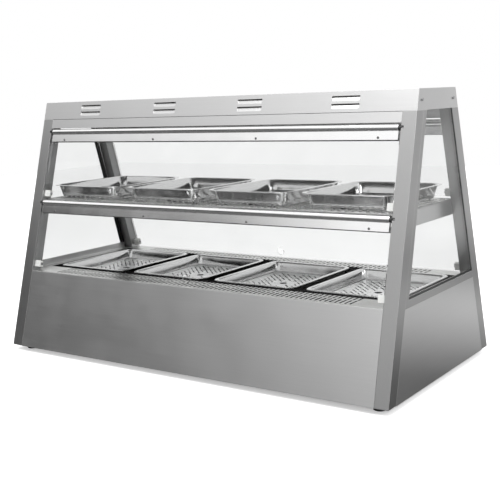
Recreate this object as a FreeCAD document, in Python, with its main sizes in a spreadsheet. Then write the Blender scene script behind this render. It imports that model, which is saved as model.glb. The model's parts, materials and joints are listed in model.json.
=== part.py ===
import FreeCAD, Part
import math
import os
import Sketcher

# Two-tier heated food display case: a stainless A-frame cabinet with a deep heated base, a mesh
# shelf, glass ends, and lift-up glass flaps front and rear.  Millimetres, +Z up.  The origin is on
# the surface the case stands on, midway along its length and its depth.  The front looks to -Y.

V = FreeCAD.Vector
X_AXIS = V(1, 0, 0)
Z_AXIS = V(0, 0, 1)
FRONT = 0      # turn about Z, in degrees, of a piece on the customer's side
REAR = 180     # the same piece on the server's side

DRIVING_SIZES = {
    # overall
    "case_width": 1260.0,
    "base_depth": 611.0,
    "cap_depth": 216.0,
    "body_height": 724.0,
    "foot_height": 14.0,
    "foot_radius": 19.0,
    "foot_inset_x": 42.0,
    "foot_inset_y": 40.5,
    # sheet metal
    "sheet": 1.5,
    "thin_sheet": 1.0,
    "seam": 0.5,
    "post_width": 37.5,
    "post_depth": 38.0,
    "base_height": 219.5,
    "cap_height": 52.0,
    "fascia_height": 26.8,
    # ends
    "sill_height": 214.5,
    "sill_band": 19.0,
    "trim_band": 16.0,
    "glass": 5.0,
    "gasket_width": 5.0,
    "bead_height": 19.0,
    "bead_foot": 13.0,
    # flaps
    "upper_axis_below_top": 89.0,
    "lower_axis_below_shelf": 9.0,
    "axis_inset": 7.5,
    "notch_width": 6.5,
    "flap_length": 205.0,
    "tube_radius": 9.5,
    "tube_wall": 1.5,
    "tube_plug": 12.0,
    "tube_end_gap": 7.0,
    "rail_height": 21.0,
    "rail_thickness": 9.0,
    "rail_grip": 13.5,
    "glass_side_gap": 4.0,
    "glass_slot_gap": 0.1,
    "finger_radius": 12.5,
    "finger_rise": 19.0,
    "pin_radius": 4.0,
    "pin_fit": 0.05,
    "bush_radius": 7.0,
    "stop_width": 21.0,
    "stop_thickness": 11.5,
    "stop_length": 19.0,
    "stop_gap": 0.4,
    "upper_stop_drop": 183.5,
    "lower_stop_drop": 180.0,
    # pans and deck
    "pan_width": 265.0,
    "pan_depth": 325.0,
    "pan_spacing": 32.0,
    "pan_drop": 38.0,
    "pan_rim": 11.0,
    "pan_taper": 4.0,
    "rim_edge": 2.5,
    "lower_pan_corner": 24.0,
    "lower_pan_bend": 8.0,
    "upper_pan_drop": 41.0,
    "upper_pan_taper": 7.5,
    "upper_pan_corner": 40.0,
    "upper_pan_bend": 16.0,
    "ledge": 7.5,
    "well_end_gap": 10.0,
    "well_depth": 115.0,
    "deck_end_gap": 10.0,
    "vent_gap": 6.0,
    "lower_row_y": 16.0,
    "vent_width": 5.0,
    "vent_pitch": 14.0,
    "vent_span": 1006.0,
    "plate_drop": 28.5,
    "plate_gap": 3.5,
    "plate_slot": 3.5,
    # shelf
    "shelf_height": 431.5,
    "shelf_setback": 20.79,
    "shelf_end_gap": 3.0,
    "shelf_lip": 19.0,
    "shelf_ledge": 14.0,
    "mesh": 2.0,
    "bracket_height": 39.5,
    "bracket_flange": 19.0,
    "bracket_lap": 11.17,
    # louvres
    "louvre_width": 79.0,
    "louvre_height": 12.2,
    "louvre_depth": 4.2,
    "louvre_corner": 5.0,
    "louvre_pitch": 19.3,
    "louvre_below_top": 42.5,
    "louvre_inner_x": 146.7,
    "louvre_outer_x": 435.4,
    # heaters and controls
    "element_radius": 4.0,
    "element_height": 141.0,
    "element_leg": 56.0,
    "control_height": 141.0,
    "knob_x": 442.0,
    "knob_radius": 22.0,
    "knob_length": 20.0,
    "spindle_radius": 3.0,
    "spindle_fit": 0.05,
    "switch_x": 376.0,
    "lamp_x": 329.0,
    "gland_x": -526.0,
    "gland_height": 66.0,
    "screw_head_radius": 3.8,
    "screw_head_height": 2.2,
    "screw_shank_radius": 2.0,
    "cap_screw_below_top": 26.5,
    "cap_screw_inset": 22.5,
}

doc = FreeCAD.newDocument("display_case")
sheet = doc.addObject("Spreadsheet::Sheet", "Sizes")
for row, (alias, number) in enumerate(DRIVING_SIZES.items(), start=1):
    sheet.set(f"A{row}", alias)
    sheet.set(f"B{row}", str(number))
    sheet.setAlias(f"B{row}", alias)
doc.recompute()


class Size:
    """A number together with the sheet formula that it comes from."""

    def __init__(self, number, formula):
        self.number = float(number)
        self.formula = formula

    def __add__(self, other):
        other = as_size(other)
        return Size(self.number + other.number, f"({self.formula} + {other.formula})")

    def __sub__(self, other):
        other = as_size(other)
        return Size(self.number - other.number, f"({self.formula} - {other.formula})")

    def __mul__(self, other):
        other = as_size(other)
        return Size(self.number * other.number, f"({self.formula} * {other.formula})")

    def __truediv__(self, other):
        other = as_size(other)
        return Size(self.number / other.number, f"({self.formula} / {other.formula})")

    def __neg__(self):
        return Size(-self.number, f"(0 - {self.formula})")

    def __radd__(self, other):
        return as_size(other) + self

    def __rsub__(self, other):
        return as_size(other) - self

    def __rmul__(self, other):
        return as_size(other) * self


def as_size(item):
    """A plain number as a Size; a Size as it is."""
    if isinstance(item, Size):
        return item
    return Size(item, repr(float(item)))


def driving(alias):
    """The Size of one cell of the sheet."""
    return Size(sheet.get(alias), f"Sizes.{alias}")


def root(size):
    """The square root of a Size."""
    return Size(math.sqrt(size.number), f"sqrt({size.formula})")


case_width = driving("case_width")
body_height = driving("body_height")
base_height = driving("base_height")
shelf_height = driving("shelf_height")
foot_height = driving("foot_height")
wall = driving("sheet")
thin = driving("thin_sheet")
seam = driving("seam")
post_width = driving("post_width")
post_depth = driving("post_depth")
glass = driving("glass")
tube_radius = driving("tube_radius")
pan_width = driving("pan_width")
pan_depth = driving("pan_depth")
pan_pitch = pan_width + driving("pan_spacing")
rim_edge = driving("rim_edge")

half_width = case_width / 2
half_depth = driving("base_depth") / 2
half_cap = driving("cap_depth") / 2
cap_low = body_height - driving("cap_height")
lean = (half_depth - half_cap) / body_height      # how far the sloped faces lean in, per mm of rise
slant = root(1 + lean * lean)                     # sloped length per mm of rise
LEAN_ANGLE = math.degrees(math.atan(lean.number))
inner_x = half_width - post_width                 # the inner side of the posts


def face(height):
    """How far the sloped face is from mid-depth, at a height above the foot of the base panels."""
    return half_depth - lean * height


def above_floor(height):
    """A height above the foot of the base panels, counted from the floor."""
    return foot_height + height


# ---- small makers ---------------------------------------------------------------------------

def bind(item, **sizes):
    """Bind properties of a document object to the sheet."""
    for name, size in sizes.items():
        item.setExpression(name, as_size(size).formula)


def placed(item, x=0, y=0, z=0, rotation=None):
    """Place a document object and tie its position to the sheet."""
    spot = [as_size(x), as_size(y), as_size(z)]
    item.Placement = FreeCAD.Placement(V(*[s.number for s in spot]), rotation or FreeCAD.Rotation())
    for letter, size in zip("xyz", spot):
        item.setExpression(f"Placement.Base.{letter}", size.formula)
    return item


def box(name, low, high):
    """A rectangular block between two corners."""
    item = doc.addObject("Part::Box", name)
    low = [as_size(c) for c in low]
    high = [as_size(c) for c in high]
    bind(item, Length=high[0] - low[0], Width=high[1] - low[1], Height=high[2] - low[2])
    return placed(item, *low)


def rod_x(name, radius, start, length, y=0, z=0):
    """A round bar along X."""
    item = doc.addObject("Part::Cylinder", name)
    bind(item, Radius=radius, Height=length)
    return placed(item, start, y, z, FreeCAD.Rotation(V(0, 1, 0), 90))


def rod_y(name, radius, x, start, length, z=0):
    """A round bar along +Y."""
    item = doc.addObject("Part::Cylinder", name)
    bind(item, Radius=radius, Height=length)
    return placed(item, x, start, z, FreeCAD.Rotation(X_AXIS, -90))


def rod_z(name, radius, x, y, start, length):
    """A round bar along +Z."""
    item = doc.addObject("Part::Cylinder", name)
    bind(item, Radius=radius, Height=length)
    return placed(item, x, y, start)


def cut(name, base, tools):
    """A piece with other shapes taken out of it."""
    item = doc.addObject("Part::Cut", name)
    item.Base = base
    item.Tool = tools[0] if len(tools) == 1 else together(name + "_tools", tools)
    return item


def fused(name, pieces):
    """Shapes welded into one solid."""
    item = doc.addObject("Part::MultiFuse", name)
    item.Shapes = pieces
    return item


def together(name, pieces):
    """Separate solids kept as one group."""
    item = doc.addObject("Part::Compound", name)
    item.Links = pieces
    return item


def outlined(name, plane, outline, length, start=0):
    """A PartDesign body: a closed outline on an origin plane, padded along the plane's normal."""
    body = doc.addObject("PartDesign::Body", name)
    sketch = body.newObject("Sketcher::SketchObject", name + "_outline")
    support = [f for f in body.Origin.OriginFeatures if f.Role == plane][0]
    sketch.AttachmentSupport = [(support, "")]
    sketch.MapMode = "FlatFace"
    corners = [(as_size(a), as_size(b)) for a, b in outline]
    count = len(corners)
    for i, (a, b) in enumerate(corners):
        c, d = corners[(i + 1) % count]
        sketch.addGeometry(Part.LineSegment(V(a.number, b.number, 0), V(c.number, d.number, 0)), False)
    for i, corner in enumerate(corners):
        sketch.addConstraint(Sketcher.Constraint("Coincident", i, 2, (i + 1) % count, 1))
        for kind, size in zip(("DistanceX", "DistanceY"), corner):
            index = sketch.addConstraint(Sketcher.Constraint(kind, -1, 1, i, 1, size.number))
            sketch.setExpression(f"Constraints[{index}]", size.formula)
    pad = body.newObject("PartDesign::Pad", name + "_pad")
    pad.Profile = sketch
    bind(pad, Length=length)
    body.Tip = pad
    if plane == "YZ_Plane":
        placed(body, x=start)
    elif plane == "XZ_Plane":
        placed(body, y=start)
    else:
        placed(body, z=start)
    return body


def sloped_rotation(side):
    """Turns an upright piece to lie along a sloped face: local -Y outwards, local +Z up the slope."""
    return FreeCAD.Rotation(Z_AXIS, side).multiply(FreeCAD.Rotation(X_AXIS, -LEAN_ANGLE))


def slope_point(height, inset=0):
    """Distance from mid-depth, and height above the floor, of a point set in square to a sloped face."""
    return face(height) - inset / slant, above_floor(height) - inset * lean / slant


def on_slope(item, side, x, height, inset=0):
    """Put a piece that is modelled about its own origin onto a sloped face, or inside it."""
    sign = -1 if side == FRONT else 1
    reach, z = slope_point(height, as_size(inset))
    return placed(item, as_size(x) * -sign, reach * sign, z, sloped_rotation(side))


def turned(item, side):
    """Turn a whole piece half a turn about the case's upright axis, for the other side."""
    if side == REAR:
        old = item.Placement
        item.Placement = FreeCAD.Placement(V(), FreeCAD.Rotation(Z_AXIS, REAR)).multiply(old)
    return item


finished = {}


def keep(node, item):
    """Name a finished sub-part; its label is the name of its file."""
    item.Label = node
    finished[node] = item
    return item


# ---- base -----------------------------------------------------------------------------------

def sloped_outline(low, high, inset, thickness):
    """A strip between two heights, following the front face, inset from it, in the YZ plane."""
    through = thickness * slant
    return [
        (-face(low) + inset, above_floor(low)),
        (-face(high) + inset, above_floor(high)),
        (-face(high) + inset + through, above_floor(high)),
        (-face(low) + inset + through, above_floor(low)),
    ]


def base_panel(name):
    span = inner_x - seam
    return outlined(name, "YZ_Plane", sloped_outline(0, base_height, 0, wall), span * 2, -span)


knob_x = driving("knob_x")
switch_x = driving("switch_x")
lamp_x = driving("lamp_x")
gland_x = driving("gland_x")
control_height = driving("control_height")
gland_height = driving("gland_height")
spindle_radius = driving("spindle_radius")
SPINDLE_BOSS = 6.0        # radius of the thermostat's threaded neck
SWITCH_SLOT = (27.0, 19.0)
LAMP_NECK = 5.0
GLAND_NECK = 8.0
DRILL = 10.0


def drill(name, radius, x, height):
    """A drill through the rear panel, square to it."""
    item = doc.addObject("Part::Cylinder", name)
    bind(item, Radius=radius, Height=2 * DRILL)
    on_slope(item, REAR, x, height)
    item.Placement = item.Placement.multiply(
        FreeCAD.Placement(V(0, DRILL, 0), FreeCAD.Rotation(X_AXIS, 90)))
    for letter in "xyz":
        item.setExpression(f"Placement.Base.{letter}", None)
    return item


def slope_block(name, side, x, height, low, high):
    """A block given in a sloped face's own directions: along it, out of it (negative), up it."""
    item = doc.addObject("Part::Feature", name)
    low = [as_size(c).number for c in low]
    high = [as_size(c).number for c in high]
    item.Shape = Part.makeBox(high[0] - low[0], high[1] - low[1], high[2] - low[2], V(*low))
    return on_slope(item, side, x, height)


keep("front_base_panel", base_panel("front_panel"))

rear_blank = base_panel("rear_blank")
turned(rear_blank, REAR)
rear_blank.setExpression("Placement.Base.x", (inner_x - seam).formula)
half_slot_x = SWITCH_SLOT[0] / 2
half_slot_z = SWITCH_SLOT[1] / 2
keep("rear_base_panel", cut("rear_panel", rear_blank, [
    drill("spindle_hole", SPINDLE_BOSS + 0.2, knob_x, control_height),
    drill("lamp_hole", LAMP_NECK + 0.2, lamp_x, control_height),
    drill("gland_hole", GLAND_NECK + 0.2, gland_x, gland_height),
    slope_block("switch_hole", REAR, switch_x, control_height,
                (-half_slot_x - 0.2, -DRILL, -half_slot_z - 0.2), (half_slot_x + 0.2, DRILL, half_slot_z + 0.2)),
]))


def end_edge(height, inset):
    """Distance from mid-depth of the posts' inner slanted edge, less an inset."""
    return face(height) - post_depth - inset


sill_height = driving("sill_height")


def end_panel(node, side):
    outline = [
        (-end_edge(0, seam), foot_height),
        (-end_edge(sill_height, seam), above_floor(sill_height)),
        (end_edge(sill_height, seam), above_floor(sill_height)),
        (end_edge(0, seam), foot_height),
    ]
    panel = outlined(node + "_sheet", "YZ_Plane", outline, wall, half_width - wall)
    if side == REAR:
        placed(panel, x=-half_width)
    return keep(node, panel)


end_panel("right_end_panel", FRONT)
end_panel("left_end_panel", REAR)

floor_x = half_width - wall - 0.2
floor_y = face(wall) - wall * slant - 0.2
keep("bottom_plate", box("floor", (-floor_x, -floor_y, foot_height), (floor_x, floor_y, foot_height + wall)))

upper_axis = body_height - driving("upper_axis_below_top")
lower_axis = shelf_height - driving("lower_axis_below_shelf")
axis_inset = driving("axis_inset")
notch_width = driving("notch_width")     # the folded corner of a post is open at each hinge pin
pin_radius = driving("pin_radius")
pin_hole = pin_radius + driving("pin_fit")


def post(node, side_x, side):
    """A hollow corner post, standing on the bottom plate and leaning in with the sloped face."""
    sign = -1 if side == FRONT else 1
    outer = [(-face(wall), above_floor(wall)), (-face(cap_low), above_floor(cap_low)),
             (-face(cap_low) + post_depth, above_floor(cap_low)), (-face(wall) + post_depth, above_floor(wall))]
    skin = wall * slant
    inner = [(-face(0) + skin, foot_height), (-face(body_height) + skin, above_floor(body_height)),
             (-face(body_height) + post_depth - skin, above_floor(body_height)),
             (-face(0) + post_depth - skin, foot_height)]
    outer = [(y * -sign, z) for y, z in outer]
    inner = [(y * -sign, z) for y, z in inner]
    near = inner_x if side_x > 0 else -half_width
    bar = outlined(node + "_outside", "YZ_Plane", outer, post_width, near)
    hollow = outlined(node + "_inside", "YZ_Plane", inner, post_width - wall * 2, near + wall)
    start = inner_x - 1 if side_x > 0 else -inner_x - wall - 1
    holes = []
    for level in (upper_axis, lower_axis):
        reach, z = slope_point(level, axis_inset)
        holes.append(rod_x(f"{node}_pin_hole_{len(holes)}", pin_hole, start, wall + 2, reach * sign, z))
    notch_near = inner_x if side_x * -sign > 0 else -inner_x - notch_width
    notches = [slope_block(f"{node}_notch_{i}", side, 0, level, (notch_near, -wall, -notch_width / 2),
                           (notch_near + notch_width, wall * 2, notch_width / 2))
               for i, level in enumerate((upper_axis, lower_axis))]
    return keep(node, cut(node + "_drilled", bar, [hollow] + holes + notches))


post("front_left_post", -1, FRONT)
post("front_right_post", 1, FRONT)
post("rear_left_post", -1, REAR)
post("rear_right_post", 1, REAR)

foot_x = half_width - driving("foot_inset_x")
foot_y = half_depth - driving("foot_inset_y")
FOOT_TOP_SHARE = 0.88     # the feet narrow a little towards the floor
feet = []
for i, (sx, sy) in enumerate([(-1, -1), (1, -1), (1, 1), (-1, 1)]):
    foot = doc.addObject("Part::Cone", f"foot_{i}")
    bind(foot, Radius1=driving("foot_radius") * FOOT_TOP_SHARE, Radius2=driving("foot_radius"), Height=foot_height)
    feet.append(placed(foot, foot_x * sx, foot_y * sy, 0))
keep("feet", together("feet_group", feet))

# ---- deck and heated well -------------------------------------------------------------------

deck_top = above_floor(base_height)
deck_low = deck_top - wall
deck_x = half_width - driving("deck_end_gap")
deck_y = face(base_height) - wall * slant - 0.2
well_x = pan_pitch * 1.5 + pan_width / 2 + driving("well_end_gap")
well_y = pan_depth / 2 - driving("ledge")
row_y = driving("lower_row_y")     # the well and its pans sit a little towards the server's side
notch_x = inner_x - seam
notch_y = face(base_height - wall) - post_depth - seam


def vent_slots():
    """Two rows of narrow slots in each of the deck's long margins, as one compound of prisms."""
    pitch = driving("vent_pitch").number
    span = driving("vent_span").number
    width = driving("vent_width").number
    gap = driving("vent_gap").number
    count = int(span // pitch) + 1
    first = -(count - 1) * pitch / 2
    slots = []
    for sign in (-1, 1):
        pan_edge = pan_depth.number / 2 + sign * row_y.number
        length = (deck_y.number - pan_edge - 4 * gap) / 2
        for i in range(count):
            for start in (pan_edge + gap, pan_edge + 2 * gap + length):
                low = start if sign > 0 else -start - length
                corner = V(first + i * pitch - width / 2, low, deck_low.number - 1)
                slots.append(Part.makeBox(width, length, wall.number + 2, corner))
    item = doc.addObject("Part::Feature", "vent_slots")
    item.Shape = Part.makeCompound(slots)
    return item


deck_blank = box("deck_blank", (-deck_x, -deck_y, deck_low), (deck_x, deck_y, deck_top))
deck_cuts = [box("well_opening", (-well_x, row_y - well_y, deck_low - 1), (well_x, row_y + well_y, deck_top + 1)), vent_slots()]
for i, (sx, sy) in enumerate([(-1, -1), (1, -1), (1, 1), (-1, 1)]):
    low_x = notch_x if sx > 0 else -deck_x - 1
    low_y = notch_y if sy > 0 else -deck_y - 1
    corner = (low_x, low_y, deck_low - 1)
    far = (low_x + (deck_x + 1 - notch_x), low_y + (deck_y + 1 - notch_y), deck_top + 1)
    deck_cuts.append(box(f"post_notch_{i}", corner, far))
keep("deck", cut("deck_plate", deck_blank, deck_cuts))

tray_x = well_x + thin + 1
tray_y = well_y + thin + 1
tray_low = deck_low - driving("well_depth")
tray_outside = box("tray_outside", (-tray_x, row_y - tray_y, tray_low), (tray_x, row_y + tray_y, deck_low))
tray_inside = box("tray_inside", (-tray_x + thin, row_y - tray_y + thin, tray_low + thin),
                  (tray_x - thin, row_y + tray_y - thin, deck_low + 1))
keep("heat_tray", cut("tray", tray_outside, [tray_inside]))

# ---- heating elements -----------------------------------------------------------------------

element_radius = driving("element_radius").number
element_leg = driving("element_leg").number


def hairpin(name, half_length, spread, y, z):
    """A tubular heater: two long straight legs joined by a round bend, its ends open at -X."""
    bend = spread / 2
    start = V(-half_length, y - bend, z)
    turn_in = V(half_length - bend, y - bend, z)
    turn_mid = V(half_length, y, z)
    turn_out = V(half_length - bend, y + bend, z)
    finish = V(-half_length, y + bend, z)
    path = Part.Wire([Part.LineSegment(start, turn_in).toShape(), Part.Arc(turn_in, turn_mid, turn_out).toShape(),
                      Part.LineSegment(turn_out, finish).toShape()])
    profile = Part.Wire([Part.makeCircle(element_radius, start, X_AXIS)])
    item = doc.addObject("Part::Feature", name)
    item.Shape = path.makePipeShell([profile], True, True)
    return item


heater_half = tray_x.number - 25
heater_ys = [row_y.number + sign * well_y.number / 2 for sign in (-1, 1)]
heater_z = above_floor(driving("element_height")).number
keep("base_elements", together("base_heaters", [
    hairpin("base_heater_front", heater_half, element_leg, heater_ys[0], heater_z),
    hairpin("base_heater_rear", heater_half, element_leg, heater_ys[1], heater_z)]))

ceiling_gap = 1.0
ceiling_top = above_floor(cap_low) - ceiling_gap
CANOPY_HEATER_DROP = 14.0
canopy_z = (ceiling_top - wall).number - CANOPY_HEATER_DROP
keep("canopy_element", hairpin("canopy_heater", inner_x.number - 60, element_leg, 0, canopy_z))

CLIP_LENGTH = 12.0
CLIP_WALL = 2.5


def clip(name, x, y, z, seat_z):
    """A block that carries both legs of a heater and stands on, or hangs from, a seat."""
    half_y = element_leg / 2 + element_radius + CLIP_WALL
    low = min(z - element_radius - CLIP_WALL, seat_z)
    high = max(z + element_radius + CLIP_WALL, seat_z)
    block = Part.makeBox(CLIP_LENGTH, 2 * half_y, high - low, V(x - CLIP_LENGTH / 2, y - half_y, low))
    for offset in (-element_leg / 2, element_leg / 2):
        bore = Part.makeCylinder(element_radius + 0.1, CLIP_LENGTH + 2,
                                 V(x - CLIP_LENGTH / 2 - 1, y + offset, z), X_AXIS)
        block = block.cut(bore)
    item = doc.addObject("Part::Feature", name)
    item.Shape = block
    return item


clips = []
for i, share in enumerate((-0.8, 0.0, 0.8)):
    for y in heater_ys:
        clips.append(clip(f"base_clip_{len(clips)}", heater_half * share, y, heater_z, (tray_low + thin).number))
    clips.append(clip(f"canopy_clip_{i}", (inner_x.number - 60) * share, 0, canopy_z, (ceiling_top - wall).number))
keep("element_clips", together("clips", clips))

# ---- canopy ---------------------------------------------------------------------------------

skin = thin * slant
cap_outline = [(-face(cap_low), above_floor(cap_low)), (-face(body_height), above_floor(body_height)),
               (face(body_height), above_floor(body_height)), (face(cap_low), above_floor(cap_low))]
cap_top_inside = body_height - thin
cap_hollow = [(-face(cap_low - 1) + skin, above_floor(cap_low - 1)),
              (-face(cap_top_inside) + skin, above_floor(cap_top_inside)),
              (face(cap_top_inside) - skin, above_floor(cap_top_inside)),
              (face(cap_low - 1) - skin, above_floor(cap_low - 1))]
cap_outside = outlined("cap_outside", "YZ_Plane", cap_outline, case_width, -half_width)
cap_inside = outlined("cap_inside", "YZ_Plane", cap_hollow, case_width - thin * 2, thin - half_width)

louvre_width = driving("louvre_width").number
louvre_height = driving("louvre_height").number
louvre_depth = driving("louvre_depth").number
louvre_corner = driving("louvre_corner").number
louvre_low = body_height - driving("louvre_below_top")
LOUVRE_SPOTS = [(sign * driving(alias), louvre_low + driving("louvre_pitch") * step)
                for alias in ("louvre_inner_x", "louvre_outer_x") for sign in (-1, 1) for step in (0, 1)]


def scoop(grow, mouth):
    """A wedge that gets deeper upwards, with round lower corners, grown by a margin at its sides and back."""
    half = louvre_width / 2 + grow
    deep = louvre_depth + grow
    corners = [V(-half, mouth, -grow), V(-half, max(grow, 0), -grow), V(-half, deep, louvre_height),
               V(-half, mouth, louvre_height)]
    wedge = Part.Face(Part.makePolygon(corners + corners[:1])).extrude(V(half * 2, 0, 0))
    block = Part.makeBox(half * 2, louvre_depth * 4, louvre_height * 2, V(-half, -louvre_depth, -grow))
    low_corners = [edge for edge in block.Edges
                   if abs(edge.CenterOfMass.z + grow) < 0.01 and abs(edge.CenterOfMass.x) > half - 0.01]
    return wedge.common(block.makeFillet(louvre_corner + grow, low_corners))


def louvre(name, side, x, height, grow, mouth):
    """A louvre pressed inwards on a sloped face: its scoop, or the space in front of the scoop."""
    item = doc.addObject("Part::Feature", name)
    item.Shape = scoop(grow, mouth)
    return on_slope(item, side, x, height)


scoops = []
recesses = []
for side in (FRONT, REAR):
    for i, (x, height) in enumerate(LOUVRE_SPOTS):
        scoops.append(louvre(f"scoop_{side}_{i}", side, x, height, thin.number, thin.number / 2))
        recesses.append(louvre(f"recess_{side}_{i}", side, x, height, 0, -1))
cap_shell = cut("cap_shell", cap_outside, [cap_inside])
cap_scooped = fused("cap_scooped", [cap_shell] + scoops)

screw_head_radius = driving("screw_head_radius")
screw_shank_radius = driving("screw_shank_radius")
cap_screw_height = body_height - driving("cap_screw_below_top")
cap_screw_y = face(cap_screw_height) - driving("cap_screw_inset")
screw_clear = screw_shank_radius + 0.15
cap_screw_holes = []
for i, (sx, sy) in enumerate([(-1, -1), (1, -1), (1, 1), (-1, 1)]):
    start = half_width - 3 if sx > 0 else -half_width - 3
    cap_screw_holes.append(rod_x(f"cap_hole_{i}", screw_clear, start, 6, cap_screw_y * sy, above_floor(cap_screw_height)))
keep("canopy_cover", cut("cap", cap_scooped, recesses + cap_screw_holes))

fascia_low = cap_low - driving("fascia_height")
fascia_span = inner_x - seam


def fascia(node, side):
    strip = outlined(node + "_strip", "YZ_Plane", sloped_outline(fascia_low, cap_low - ceiling_gap, 0, wall),
                     fascia_span * 2, -fascia_span)
    if side == REAR:
        turned(strip, REAR)
        strip.setExpression("Placement.Base.x", fascia_span.formula)
    return keep(node, strip)


fascia("front_fascia", FRONT)
fascia("rear_fascia", REAR)

ceiling_y = face(cap_low) - wall * slant - 0.4
keep("canopy_ceiling", box("ceiling", (-fascia_span, -ceiling_y, ceiling_top - wall), (fascia_span, ceiling_y, ceiling_top)))

# ---- glass ends -----------------------------------------------------------------------------

sill_top = sill_height + driving("sill_band")
trim_band = driving("trim_band")
trim_outline = [
    (-end_edge(sill_height, seam), above_floor(sill_height + seam)),
    (end_edge(sill_height, seam), above_floor(sill_height + seam)),
    (end_edge(sill_top, seam), above_floor(sill_top)),
    (-end_edge(sill_top, seam) + trim_band, above_floor(sill_top)),
    (-end_edge(cap_low, seam) + trim_band, above_floor(cap_low)),
    (-end_edge(cap_low, seam), above_floor(cap_low)),
]
gasket_width = driving("gasket_width")
gasket_outline = [
    (end_edge(sill_top + seam, seam), above_floor(sill_top + seam)),
    (end_edge(cap_low, seam), above_floor(cap_low)),
    (end_edge(cap_low, seam) - gasket_width, above_floor(cap_low)),
    (end_edge(sill_top + seam, seam) - gasket_width, above_floor(sill_top + seam)),
]
GLASS_IN_CAP = 20.0
glass_low = base_height + 1
glass_high = cap_low + GLASS_IN_CAP
pane_outline = [
    (-end_edge(glass_low, 1), above_floor(glass_low)),
    (-end_edge(glass_high, 1), above_floor(glass_high)),
    (end_edge(glass_high, 1), above_floor(glass_high)),
    (end_edge(glass_low, 1), above_floor(glass_low)),
]
bead_high = base_height + driving("bead_height")
bead_span = end_edge(bead_high, 1)
glass_face = half_width - wall - glass            # the inner face of the end glass


def end_piece(name, outline, thickness, outer_gap, side):
    """A flat piece on an end of the case; the far end has the same piece turned half round."""
    start = half_width - outer_gap - thickness
    flat = outlined(name, "YZ_Plane", outline, thickness, start)
    if side == REAR:
        turned(flat, REAR)
        flat.setExpression("Placement.Base.x", (-start).formula)
    return flat


keep("right_end_trim", end_piece("right_trim", trim_outline, wall, as_size(0), FRONT))
keep("left_end_trim", end_piece("left_trim", trim_outline, wall, as_size(0), REAR))
keep("right_end_glass", end_piece("right_pane", pane_outline, glass, wall, FRONT))
keep("left_end_glass", end_piece("left_pane", pane_outline, glass, wall, REAR))
keep("end_glass_gaskets", together("gaskets", [
    end_piece("right_gasket", gasket_outline, wall, as_size(0), FRONT),
    end_piece("left_gasket", gasket_outline, wall, as_size(0), REAR)]))


def bead(name, side_x):
    """An angle that holds the foot of the end glass from inside."""
    bead_foot = driving("bead_foot")
    outline = [(glass_face, deck_top), (glass_face, above_floor(bead_high)), (glass_face - wall, above_floor(bead_high)),
               (glass_face - wall, deck_top + wall), (glass_face - bead_foot, deck_top + wall),
               (glass_face - bead_foot, deck_top)]
    return outlined(name, "XZ_Plane", [(x * side_x, z) for x, z in outline], bead_span * 2, bead_span)


keep("end_glass_beads", together("beads", [bead("right_bead", 1), bead("left_bead", -1)]))

# ---- shelf ----------------------------------------------------------------------------------

shelf_top = above_floor(shelf_height)
mesh = driving("mesh")
frame_x = inner_x - driving("shelf_end_gap")
frame_y = face(shelf_height) - driving("shelf_setback")
ledge = driving("shelf_ledge")
frame_low = shelf_top - driving("shelf_lip")
mesh_low = shelf_top - mesh
frame_bar = box("frame_outside", (-frame_x, -frame_y, frame_low), (frame_x, frame_y, shelf_top))
mesh_x = frame_x - wall
mesh_y = frame_y - wall
keep("shelf_frame", cut("frame_ring", frame_bar, [
    box("frame_below", (-mesh_x, -mesh_y, frame_low - 1), (mesh_x, mesh_y, mesh_low - wall)),
    box("frame_seat", (-mesh_x, -mesh_y, mesh_low), (mesh_x, mesh_y, shelf_top + 1)),
    box("frame_opening", (ledge - frame_x, ledge - frame_y, frame_low - 1),
        (frame_x - ledge, frame_y - ledge, shelf_top + 1))]))
keep("shelf_mesh", box("mesh_plate", (0.3 - mesh_x, 0.3 - mesh_y, mesh_low), (mesh_x - 0.3, mesh_y - 0.3, shelf_top)))

bracket_high = shelf_top - mesh
bracket_low = bracket_high - driving("bracket_height")
bracket_flange = driving("bracket_flange")
bracket_span = face(shelf_height - mesh) - post_depth + driving("bracket_lap")


def bracket(name, side_x):
    """A carrier angle between a front and a rear post, with a flange under the shelf frame."""
    outline = [(inner_x, bracket_low), (inner_x, bracket_high), (inner_x - wall, bracket_high),
               (inner_x - wall, frame_low), (inner_x - bracket_flange, frame_low),
               (inner_x - bracket_flange, frame_low - wall), (inner_x - wall, frame_low - wall),
               (inner_x - wall, bracket_low)]
    return outlined(name, "XZ_Plane", [(x * side_x, z) for x, z in outline], bracket_span * 2, bracket_span)


keep("shelf_brackets", together("brackets", [bracket("right_bracket", 1), bracket("left_bracket", -1)]))

# ---- flaps ----------------------------------------------------------------------------------

flap_length = driving("flap_length")
half_tube = inner_x - driving("tube_end_gap")
rail_height = driving("rail_height")
half_rail = driving("rail_thickness") / 2
rail_low = tube_radius + rail_height
RAIL_OVERLAP = 2.0        # the rail's upper edge is welded this deep into the tube's side
slot_half = glass / 2 + driving("glass_slot_gap")
glass_top = rail_low - driving("rail_grip")
half_pane = inner_x - driving("glass_side_gap")


def hinge_rail(node, side, height):
    """The hinge tube with its plugged ends and the welded rail that grips the glass."""
    bore = tube_radius - driving("tube_wall")
    plug = driving("tube_plug")
    half_bore = half_tube - plug
    blank = fused(node + "_blank", [
        rod_x(node + "_tube", tube_radius, -half_tube, half_tube * 2),
        box(node + "_rail", (-half_tube, -half_rail, -rail_low), (half_tube, half_rail, RAIL_OVERLAP - tube_radius))])
    tools = [
        rod_x(node + "_bore", bore, -half_bore, half_bore * 2),
        rod_x(node + "_pivot_a", pin_hole, -half_tube - 1, plug + 2),
        rod_x(node + "_pivot_b", pin_hole, half_bore - 1, plug + 2),
        box(node + "_slot", (-half_tube - 1, -slot_half, -rail_low - 1), (half_tube + 1, slot_half, -glass_top))]
    return keep(node, on_slope(cut(node + "_weldment", blank, tools), side, 0, height, axis_inset))


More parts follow.
